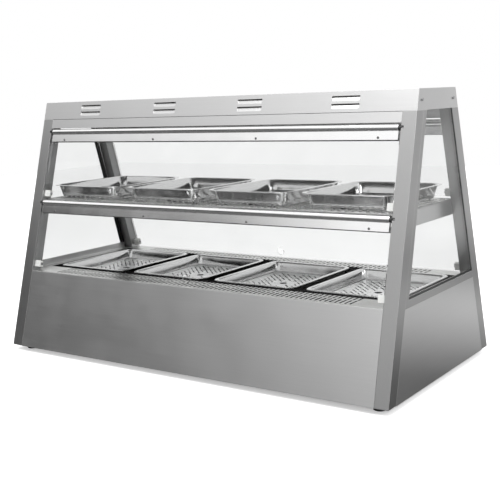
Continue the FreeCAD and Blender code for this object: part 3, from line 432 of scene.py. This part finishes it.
# %% Moulded recipe
def moulded(name, colour, roughness, grain_size=1800.0, bump=0.12, dust=0.15, coat=0.0):
    """A plastic, rubber or ceramic finish."""
    material, tree, shader = new_material(name)
    shader.inputs["Coat Weight"].default_value = coat
    grain = noise(tree, object_place(tree), grain_size)
    marks = use_group(tree, handling_marks, Size=3.0)
    edges = use_group(tree, rounded_edges, Radius=0.0006)
    clean = tuple(colour) + (1.0,)
    paler = tuple(c + (0.55 - c) * 0.25 for c in colour) + (1.0,)
    dusty = blend_colours(tree, maths(tree, "MULTIPLY", marks.outputs["Cloud"], dust), clean, paler)
    # Edges are painted paler: a painted highlight.
    edge_highlighted = blend_colours(tree, maths(tree, "MULTIPLY", edges.outputs["Edge"], 0.35), dusty, paler)
    feed(tree, edge_highlighted, shader.inputs["Base Color"])
    rough = maths(tree, "ADD", roughness - 0.08, maths(tree, "MULTIPLY", grain, 0.16), clamp=True)
    feed(tree, rough, shader.inputs["Roughness"])
    feed(tree, bumped(tree, grain, edges.outputs["Normal"], bump, 0.0003), shader.inputs["Normal"])
    return material


white_nylon = moulded("white_nylon", (0.82, 0.82, 0.80), 0.42)
black_rubber = moulded("black_rubber", (0.018, 0.018, 0.018), 0.6, grain_size=900.0, bump=0.3, dust=0.4)
black_plastic = moulded("black_plastic", (0.022, 0.022, 0.023), 0.38, dust=0.2)
amber_lens = moulded("amber_lens", (0.85, 0.32, 0.03), 0.2, coat=0.6, bump=0.03)
pale_ceramic = moulded("pale_ceramic", (0.74, 0.71, 0.64), 0.55)
print("moulded finishes ready")

# %% [markdown]
# ## Finishes for the frame
#
# The frame's own pieces are the right shape already where they are folded sheet, so they only take a
# finish, which could be chosen piece by piece. Each piece's record names what it is made of, so most
# are found by that. Brushed sheet has its grain along the case unless the piece is listed here, and
# the deck and the drain plates take the finishes with dark slots.

# %% Give the frame its finishes
SIDEWAYS = ["right_end_panel", "left_end_panel", "end_glass_beads", "shelf_brackets"]
UPRIGHT = ["front_left_post", "front_right_post", "rear_left_post", "rear_right_post", "right_end_trim",
           "left_end_trim"]
finish_of_slot = {
    "brushed_stainless": brushed_lengthwise, "satin_stainless": satin_sheet, "bright_stainless": bright_tube,
    "pan_stainless": pressed_pan, "clear_glass": clear_glass, "white_nylon": white_nylon,
    "zinc_steel": zinc_plate, "heater_sheath": heated_sheath, "darkened_steel": darkened_steel,
    "black_rubber": black_rubber, "black_plastic": black_plastic, "amber_lens": amber_lens,
    "pale_ceramic": pale_ceramic}
for part in frame["record"]["subparts"]:
    name = part["node"]
    finish = finish_of_slot[part["material_slot"]]
    if name in SIDEWAYS:
        finish = brushed_sideways
    if name in UPRIGHT:
        finish = brushed_upright
    if name == "deck":
        finish = vented_sheet
    if name.startswith("drain_plate"):
        finish = slotted_plate
    nodes[name].data.materials.clear()
    nodes[name].data.materials.append(finish)
print("finished", len(nodes), "pieces")

# %% [markdown]
# ## From a bmesh to a finished piece
#
# A bmesh is Blender's mesh workshop: a shape is started with one operator and changed with others.
# When it is done it becomes an object, takes its finish, and rides on a body of the frame so that it
# moves as the real piece does. Faces are smooth, and edges sharper than a set angle stay crisp.


# %% Turn a bmesh into a piece
CRISP = math.radians(35.0)     # edges sharper than this stay crisp


def finished(name, shape, body, finish, stands_for=(), recalculate=True, outside=None):
    """Make an object of a bmesh, give it its finish, and fix it to a body of the frame."""
    if recalculate:
        bmesh.ops.recalc_face_normals(shape, faces=shape.faces)
    data = bpy.data.meshes.new(name)
    shape.to_mesh(data)
    shape.free()
    data.materials.append(finish)
    if outside:
        data.materials.append(outside)
    data.shade_smooth()
    data.set_sharp_from_angle(angle=CRISP)
    piece = bpy.data.objects.new(name, data)
    bpy.context.scene.collection.objects.link(piece)
    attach(piece, body)
    if stands_for:
        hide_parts(*stands_for)
    return piece


print("pieces can be made")


# %% [markdown]
# ## Pressed pans
#
# A pan is pressed from one sheet: a flat flange with a turned-down lip, a soft bend into the wall, and a
# round bend into the floor. It could be lofted through curves, but stepping inwards from the rim is
# simpler: a rectangle gets round corners with a vertex bevel, and then each inset makes the next ring a
# little further in and a little lower. The list of steps is the pan's section. Solidify then gives the
# sheet its thickness. The outsides of the lower pans face the heaters and lie in the shade of the deck,
# and a second, near-black finish paints that shade; the upper pans are the same inside and out.


# %% Pan section and pan
SHEET = 0.0010         # thickness of the pans' sheet
FLANGE = 0.011         # from a pan's edge to the top of its wall


def bend_steps(start, low, radius, count=6):
    """The points of a quarter bend, from an upright wall at start to a level floor at low."""
    steps = []
    for i in range(1, count + 1):
        angle = math.radians(90 * i / count)
        steps.append((start + radius * (1 - math.cos(angle)), low + radius * (1 - math.sin(angle))))
    return steps


def pan_section(rim, drop, taper, radius):
    """Section of a pan: distance in from the outer edge, and height from the rim's top, in metres."""
    wall_top = rim + 0.0012
    wall_foot = wall_top + taper
    steps = [(0.0, -0.0013), (0.00012, -0.0008), (0.0005, -0.0003), (0.0012, 0.0), (rim - 0.0026, 0.0),
             (rim - 0.0012, -0.0002), (rim - 0.0001, -0.0008), (rim + 0.0008, -0.0020)]
    steps.append((wall_top + 0.001, -0.0045))
    steps.append((wall_foot, -drop + radius + SHEET))
    steps += bend_steps(wall_foot, -drop + SHEET, radius)
    steps.append((steps[-1][0] + 0.0012, -drop + SHEET))
    return steps


def pressed_shape(low, high, corner, section):
    """A round-cornered sheet that follows a section inwards from its rim."""
    shape = bmesh.new()
    bmesh.ops.create_grid(shape, x_segments=1, y_segments=1, size=0.5)
    bmesh.ops.scale(shape, verts=shape.verts, vec=(high.x - low.x, high.y - low.y, 1.0))
    bmesh.ops.bevel(shape, geom=list(shape.verts), offset=corner, offset_type="OFFSET", affect="VERTICES",
                    segments=10, profile=0.5, material=-1)
    middle = (low + high) / 2
    bmesh.ops.translate(shape, verts=shape.verts, vec=(middle.x, middle.y, high.z + section[0][1]))
    floor_face = shape.faces[:][0]
    if floor_face.normal.z < 0:
        floor_face.normal_flip()
    for (near, above), (far, below) in zip(section, section[1:]):
        bmesh.ops.inset_individual(shape, faces=[floor_face], thickness=far - near, depth=below - above,
                                   use_even_offset=True)
    inner = set(shape.faces)
    bmesh.ops.solidify(shape, geom=shape.faces[:], thickness=SHEET * 0.9)
    for face in shape.faces:
        if face.normal.z < 0.05 and face not in inner:
            face.material_index = 1
    return shape


print("pan section has", len(pan_section(FLANGE, 0.05, 0.004, 0.0075)), "points")

# %% Press the eight pans
# The lower pans' outsides take the near-black finish: painted shade.
for tier, corner, taper, radius, outside in (("lower_pan", 0.027, 0.004, 0.0075, darkened_steel),
                                             ("upper_pan", 0.040, 0.0075, 0.0150, pressed_pan)):
    for number in range(1, 5):
        node = f"{tier}_{number}"
        low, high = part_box(node)
        section = pan_section(FLANGE, high.z - low.z, taper, radius)
        pan = finished(f"{node}_pressing", pressed_shape(low, high, corner, section), node, pressed_pan,
                       [node], recalculate=False, outside=outside)
    print(tier, "x4:", len(pan.data.polygons), "faces each, drop", round(high.z - low.z, 4))

# %% [markdown]
# ## Expanded-metal shelf
#
# The shelf is expanded metal: sheet that is slit and pulled open into diamonds, so that each strand is
# a small flat bar that leans a little. A texture would look flat from near by, so the strands are real.
# One cell is a diamond of four short bars; it is copied along a row, and the row across the shelf.

# %% Expanded mesh
mesh_low, mesh_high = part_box("shelf_mesh")
CELL_X = 0.0200
CELL_Y = 0.0400
STRAND = 0.0026        # width of one bar
STRAND_SHEET = 0.0011  # thickness of one bar
LEAN = math.radians(38)
EDGE_GAP = 0.002       # what is left clear inside the shelf's frame
columns = int((mesh_high.x - mesh_low.x - EDGE_GAP) / CELL_X)
rows = int((mesh_high.y - mesh_low.y - EDGE_GAP) / CELL_Y)
slope = math.atan2(CELL_Y, CELL_X)
reach = math.hypot(CELL_X, CELL_Y) / 2 + STRAND * 0.4


def everything(shape):
    """All the vertices, edges and faces of a bmesh, as they are now."""
    return shape.verts[:] + shape.edges[:] + shape.faces[:]


def copied_verts(shape, chosen):
    """Duplicate some of a bmesh, and give the new vertices."""
    copied = bmesh.ops.duplicate(shape, geom=chosen)["geom"]
    return [item for item in copied if isinstance(item, bmesh.types.BMVert)]


def lined_up(shape, count, step):
    """Repeat a bmesh in a line: count of it in all, each one step further on."""
    start = everything(shape)
    for number in range(1, count):
        bmesh.ops.translate(shape, verts=copied_verts(shape, start), vec=step * number)


print("cells: ", columns, "by", rows)

# %% One diamond, then the whole mesh
shelf = bmesh.new()
for sign in (1, -1):
    centre = Vector((sign * CELL_X / 4, CELL_Y / 4, 0.0))
    turn = Matrix.Rotation(sign * -slope, 4, "Z") @ Matrix.Rotation(LEAN, 4, "X")
    size = Matrix.Diagonal((reach, STRAND, STRAND_SHEET, 1.0))
    bmesh.ops.create_cube(shelf, size=1.0, matrix=Matrix.Translation(centre) @ turn @ size)
bmesh.ops.scale(shelf, verts=copied_verts(shelf, everything(shelf)), vec=(1.0, -1.0, 1.0))
lined_up(shelf, columns, Vector((CELL_X, 0, 0)))
lined_up(shelf, rows, Vector((0, CELL_Y, 0)))
middle = Vector((-(columns - 1) * CELL_X / 2, -(rows - 1) * CELL_Y / 2, (mesh_low.z + mesh_high.z) / 2))
bmesh.ops.translate(shelf, verts=shelf.verts, vec=middle)
expanded = finished("shelf_expanded_mesh", shelf, "case", mesh_strand, ["shelf_mesh"])
print("shelf:", columns, "by", rows, "cells,", len(expanded.data.polygons), "faces")

# %% [markdown]
# ## Hinge rail trim
#
# Each flap's rail is closed by four small screws, and a dark strip fills the joint where the glass
# enters the rail. The two hinge axes of a side give the direction down the sloping front, and the
# direction out of it follows from a cross product. The screw's head is turned: a half section, which
# dips in the middle for the socket, is spun round the screw's own axis.

# %% Screw heads and joining
ACROSS = Vector((1, 0, 0))
SCREW_PLACES = (-0.533, -0.177, 0.177, 0.533)   # along the rail
SCREW_DOWN = 0.0248    # from the hinge axis down the slope
SCREW_OUT = 0.0045     # from the hinge axis out to the rail's face
SEAL_DOWN = 0.0311
SEAL_WIDTH = 0.0078
SEAL_HEIGHT = 0.0016
hinge_spots = {joint["child"]: Vector(joint["pos_m"]) for joint in frame["joints"]
               if joint["child"].endswith("_flap")}
rail_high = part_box("front_upper_hinge_rail")[1]


def turned_shape(section, segments):
    """Spin a half section, given as (radius, height) points, round the Z axis."""
    shape = bmesh.new()
    points = [shape.verts.new((radius, 0.0, height)) for radius, height in section]
    edges = [shape.edges.new(pair) for pair in zip(points, points[1:])]
    bmesh.ops.spin(shape, geom=points + edges, cent=(0, 0, 0), axis=(0, 0, 1), angle=math.radians(360),
                   steps=segments, use_merge=True)
    bmesh.ops.remove_doubles(shape, verts=shape.verts, dist=1e-6)
    return shape


def screw_head(centre, out):
    """A button-head screw that stands on a surface at centre, facing out."""
    shape = turned_shape([(0.0, 0.0007), (0.0011, 0.0007), (0.0013, 0.0017), (0.0020, 0.0018),
                          (0.0029, 0.0012), (0.0033, 0.0004), (0.0033, -0.0002)], segments=18)
    turn = out.to_track_quat("Z", "Y").to_matrix().to_4x4()
    bmesh.ops.transform(shape, matrix=Matrix.Translation(centre) @ turn, verts=shape.verts)
    return shape


def joined(shapes):
    """Put several bmeshes into one."""
    whole = bmesh.new()
    for shape in shapes:
        data = bpy.data.meshes.new("part")
        shape.to_mesh(data)
        shape.free()
        whole.from_mesh(data)
        bpy.data.meshes.remove(data)
    return whole


print(len(hinge_spots), "flaps to trim")

# %% Put the screws and strips on
for side, facing in (("front", 1), ("rear", -1)):
    down = (hinge_spots[f"{side}_lower_flap"] - hinge_spots[f"{side}_upper_flap"]).normalized()
    out = down.cross(ACROSS) * facing
    for tier in ("upper", "lower"):
        flap = f"{side}_{tier}_flap"
        rail_face = hinge_spots[flap] + down * SCREW_DOWN + out * SCREW_OUT
        heads = [screw_head(rail_face + ACROSS * x, out) for x in SCREW_PLACES]
        finished(f"{flap}_screws", joined(heads), flap, dark_screw)
        strip = bmesh.new()
        size = Matrix.Diagonal((rail_high.x * 2 - 0.001, SEAL_WIDTH, SEAL_HEIGHT, 1.0))
        bmesh.ops.create_cube(strip, size=1.0, matrix=size)
        bmesh.ops.bevel(strip, geom=strip.edges[:], offset=0.0004, affect="EDGES", segments=2,
                        profile=0.5, material=-1)
        turn = Matrix((ACROSS, out, out.cross(ACROSS) * -1)).transposed().to_4x4()
        place = Matrix.Translation(hinge_spots[flap] + down * SEAL_DOWN) @ turn
        bmesh.ops.transform(strip, matrix=place, verts=strip.verts)
        finished(f"{flap}_seal", strip, flap, black_rubber)
    print(side, "flaps trimmed")

# %% [markdown]
# ## Rubber feet
#
# The feet are turned shapes with a rounded foot, a groove and a wider collar at the top. A cylinder
# with bevels would do, but a spun section gives the groove as well.

# %% Feet
COLLAR = 0.0190        # radius of a foot's wide top
FOOT_SECTION = [(0.0, 0.0016), (0.0110, 0.0016), (0.0122, 0.0), (0.0150, 0.0), (0.0166, 0.0014),
                (0.0172, 0.0060), (0.0166, 0.0070), (0.0170, 0.0080), (0.0186, 0.0092),
                (COLLAR, 0.0110), (COLLAR, 0.0138), (0.0, 0.0138)]
foot_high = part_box("feet")[1]
foot_shapes = []
for end in (-1, 1):
    for side in (-1, 1):
        foot = turned_shape(FOOT_SECTION, segments=36)
        place = (end * (foot_high.x - COLLAR), side * (foot_high.y - COLLAR), 0)
        bmesh.ops.translate(foot, verts=foot.verts, vec=place)
        foot_shapes.append(foot)
finished("rubber_feet", joined(foot_shapes), "case", black_rubber, ["feet"])
print("feet", len(foot_shapes))

# %% [markdown]
# ## The studio
#
# Steel is only as good as what it reflects. The room is pale all round, with a dark side low down, a
# dark corner further off and a dark band at eye level, so that the long panel runs from dark to light
# and the tubes get a crisp line. An image of a room would do the same, but sums on the direction that
# a ray leaves in need no image. Rays that haven't met a surface that mirrors or scatters them, even
# through glass, see plain white, so the room shows only in the steel.

# %% Room light
bpy.context.scene.view_settings.view_transform = "Standard"
world = bpy.data.worlds.new("studio")
world.use_nodes = True
bpy.context.scene.world = world
tree = world.node_tree
sky = tree.nodes["Background"]
way = split(tree, tree.nodes.new("ShaderNodeTexCoord").outputs["Generated"])
low_side = maths(tree, "MULTIPLY", stepped(tree, way["X"], -0.41, -0.60), stepped(tree, way["Z"], 0.44, 0.18))
low_side = maths(tree, "MULTIPLY", low_side, stepped(tree, way["Y"], 0.1, -0.3))
far_side = maths(tree, "MULTIPLY", stepped(tree, way["X"], 0.28, 0.56), stepped(tree, way["Z"], 0.20, 0.03))
far_side = maths(tree, "MULTIPLY", far_side, stepped(tree, way["Y"], 0.1, 0.5))
near_level = stepped(tree, maths(tree, "ABSOLUTE", way["Z"]), 0.13, 0.06)
level_band = maths(tree, "MULTIPLY", near_level, stepped(tree, way["Y"], -0.2, -0.4))
shaded = maths(tree, "MAXIMUM", low_side, maths(tree, "MULTIPLY", far_side, 0.85))
shaded = maths(tree, "MAXIMUM", shaded, maths(tree, "MULTIPLY", level_band, 0.9))
room = stepped(tree, shaded, 0.0, 1.0, 1.05, 0.0)
path = tree.nodes.new("ShaderNodeLightPath")
bounces = maths(tree, "ADD", path.outputs["Glossy Depth"], path.outputs["Diffuse Depth"], clamp=True)
shade = tree.nodes.new("ShaderNodeMix")
feed(tree, maths(tree, "SUBTRACT", 1.0, bounces), shade.inputs["Factor"])
feed(tree, room, shade.inputs[2])
feed(tree, 1.0, shade.inputs[3])
feed(tree, shade.outputs[0], sky.inputs["Color"])
sky.inputs["Strength"].default_value = 1.0


print("room ready")


# %% Softboxes
def softbox(name, place, aim, size, power):
    """A square area light at a place, turned towards a point."""
    light = bpy.data.lights.new(name, "AREA")
    light.shape = "RECTANGLE"
    light.size, light.size_y = size
    light.energy = power
    lamp = bpy.data.objects.new(name, light)
    lamp.location = place
    lamp.rotation_euler = (Vector(aim) - Vector(place)).to_track_quat("-Z", "Y").to_euler()
    bpy.context.scene.collection.objects.link(lamp)
    return lamp


softbox("softbox_above", (0.3, -1.2, 2.6), (0, 0, 0.4), (2.2, 1.4), 30)
softbox("softbox_right", (2.6, -0.4, 1.6), (0.4, 0, 0.4), (1.2, 1.2), 14)
print("two softboxes ready")

# %% [markdown]
# ## The floor
#
# The case stands on a white floor, which glows a little where the camera sees it, so that it all but
# melts into the white behind. The tubes and the pans' walls mirror the floor, and plain white would wash
# their shape out. Grey cards laid on the floor would help, but they would be seen. So mirrored rays see
# a floor in bands of grey from front to back, made with a colour ramp, and other rays a white one.

# %% Floor
FLOOR_HALF = 6.0
FLOOR_DROP = 0.0005    # keeps the floor just clear of the feet
RAMP_REACH = 3.0       # the ramp runs from this far in front to this far behind
BANDS = ((-2.6, 0.15), (-1.9, 0.08), (0.0, 0.08), (0.9, 0.60), (1.3, 0.10), (1.7, 0.12), (2.3, 0.75))
floor_mesh = bmesh.new()
bmesh.ops.create_grid(floor_mesh, x_segments=1, y_segments=1, size=FLOOR_HALF)
bmesh.ops.translate(floor_mesh, verts=floor_mesh.verts, vec=(0, 0, -FLOOR_DROP))
floor_data = bpy.data.meshes.new("floor")
floor_mesh.to_mesh(floor_data)
floor_mesh.free()
floor = bpy.data.objects.new("floor", floor_data)
bpy.context.scene.collection.objects.link(floor)
pale_floor, tree, paint = new_material("pale_floor")
paint.inputs["Roughness"].default_value = 0.9
across_floor = add_node(tree, "ShaderNodeMapRange")
feed(tree, split(tree, object_place(tree))["Y"], across_floor.inputs["Value"])
across_floor.inputs["From Min"].default_value = -RAMP_REACH
across_floor.inputs["From Max"].default_value = RAMP_REACH
mirrored = tree.nodes.new("ShaderNodeValToRGB")
feed(tree, across_floor.outputs["Result"], mirrored.inputs["Fac"])
ramp = mirrored.color_ramp
ramp.elements[0].color = grey(0.20)
ramp.elements[1].color = grey(0.75)
for y, tone in BANDS:
    ramp.elements.new((y + RAMP_REACH) / (2 * RAMP_REACH)).color = grey(tone)
path = tree.nodes.new("ShaderNodeLightPath")
glossy = maths(tree, "MINIMUM", path.outputs["Glossy Depth"], 1.0)
feed(tree, blend_colours(tree, glossy, grey(0.9), mirrored.outputs["Color"]), paint.inputs["Base Color"])
paint.inputs["Emission Color"].default_value = grey(1.0)
feed(tree, maths(tree, "MULTIPLY", path.outputs["Is Camera Ray"], 0.45), paint.inputs["Emission Strength"])
floor_data.materials.append(pale_floor)
print("floor ready")
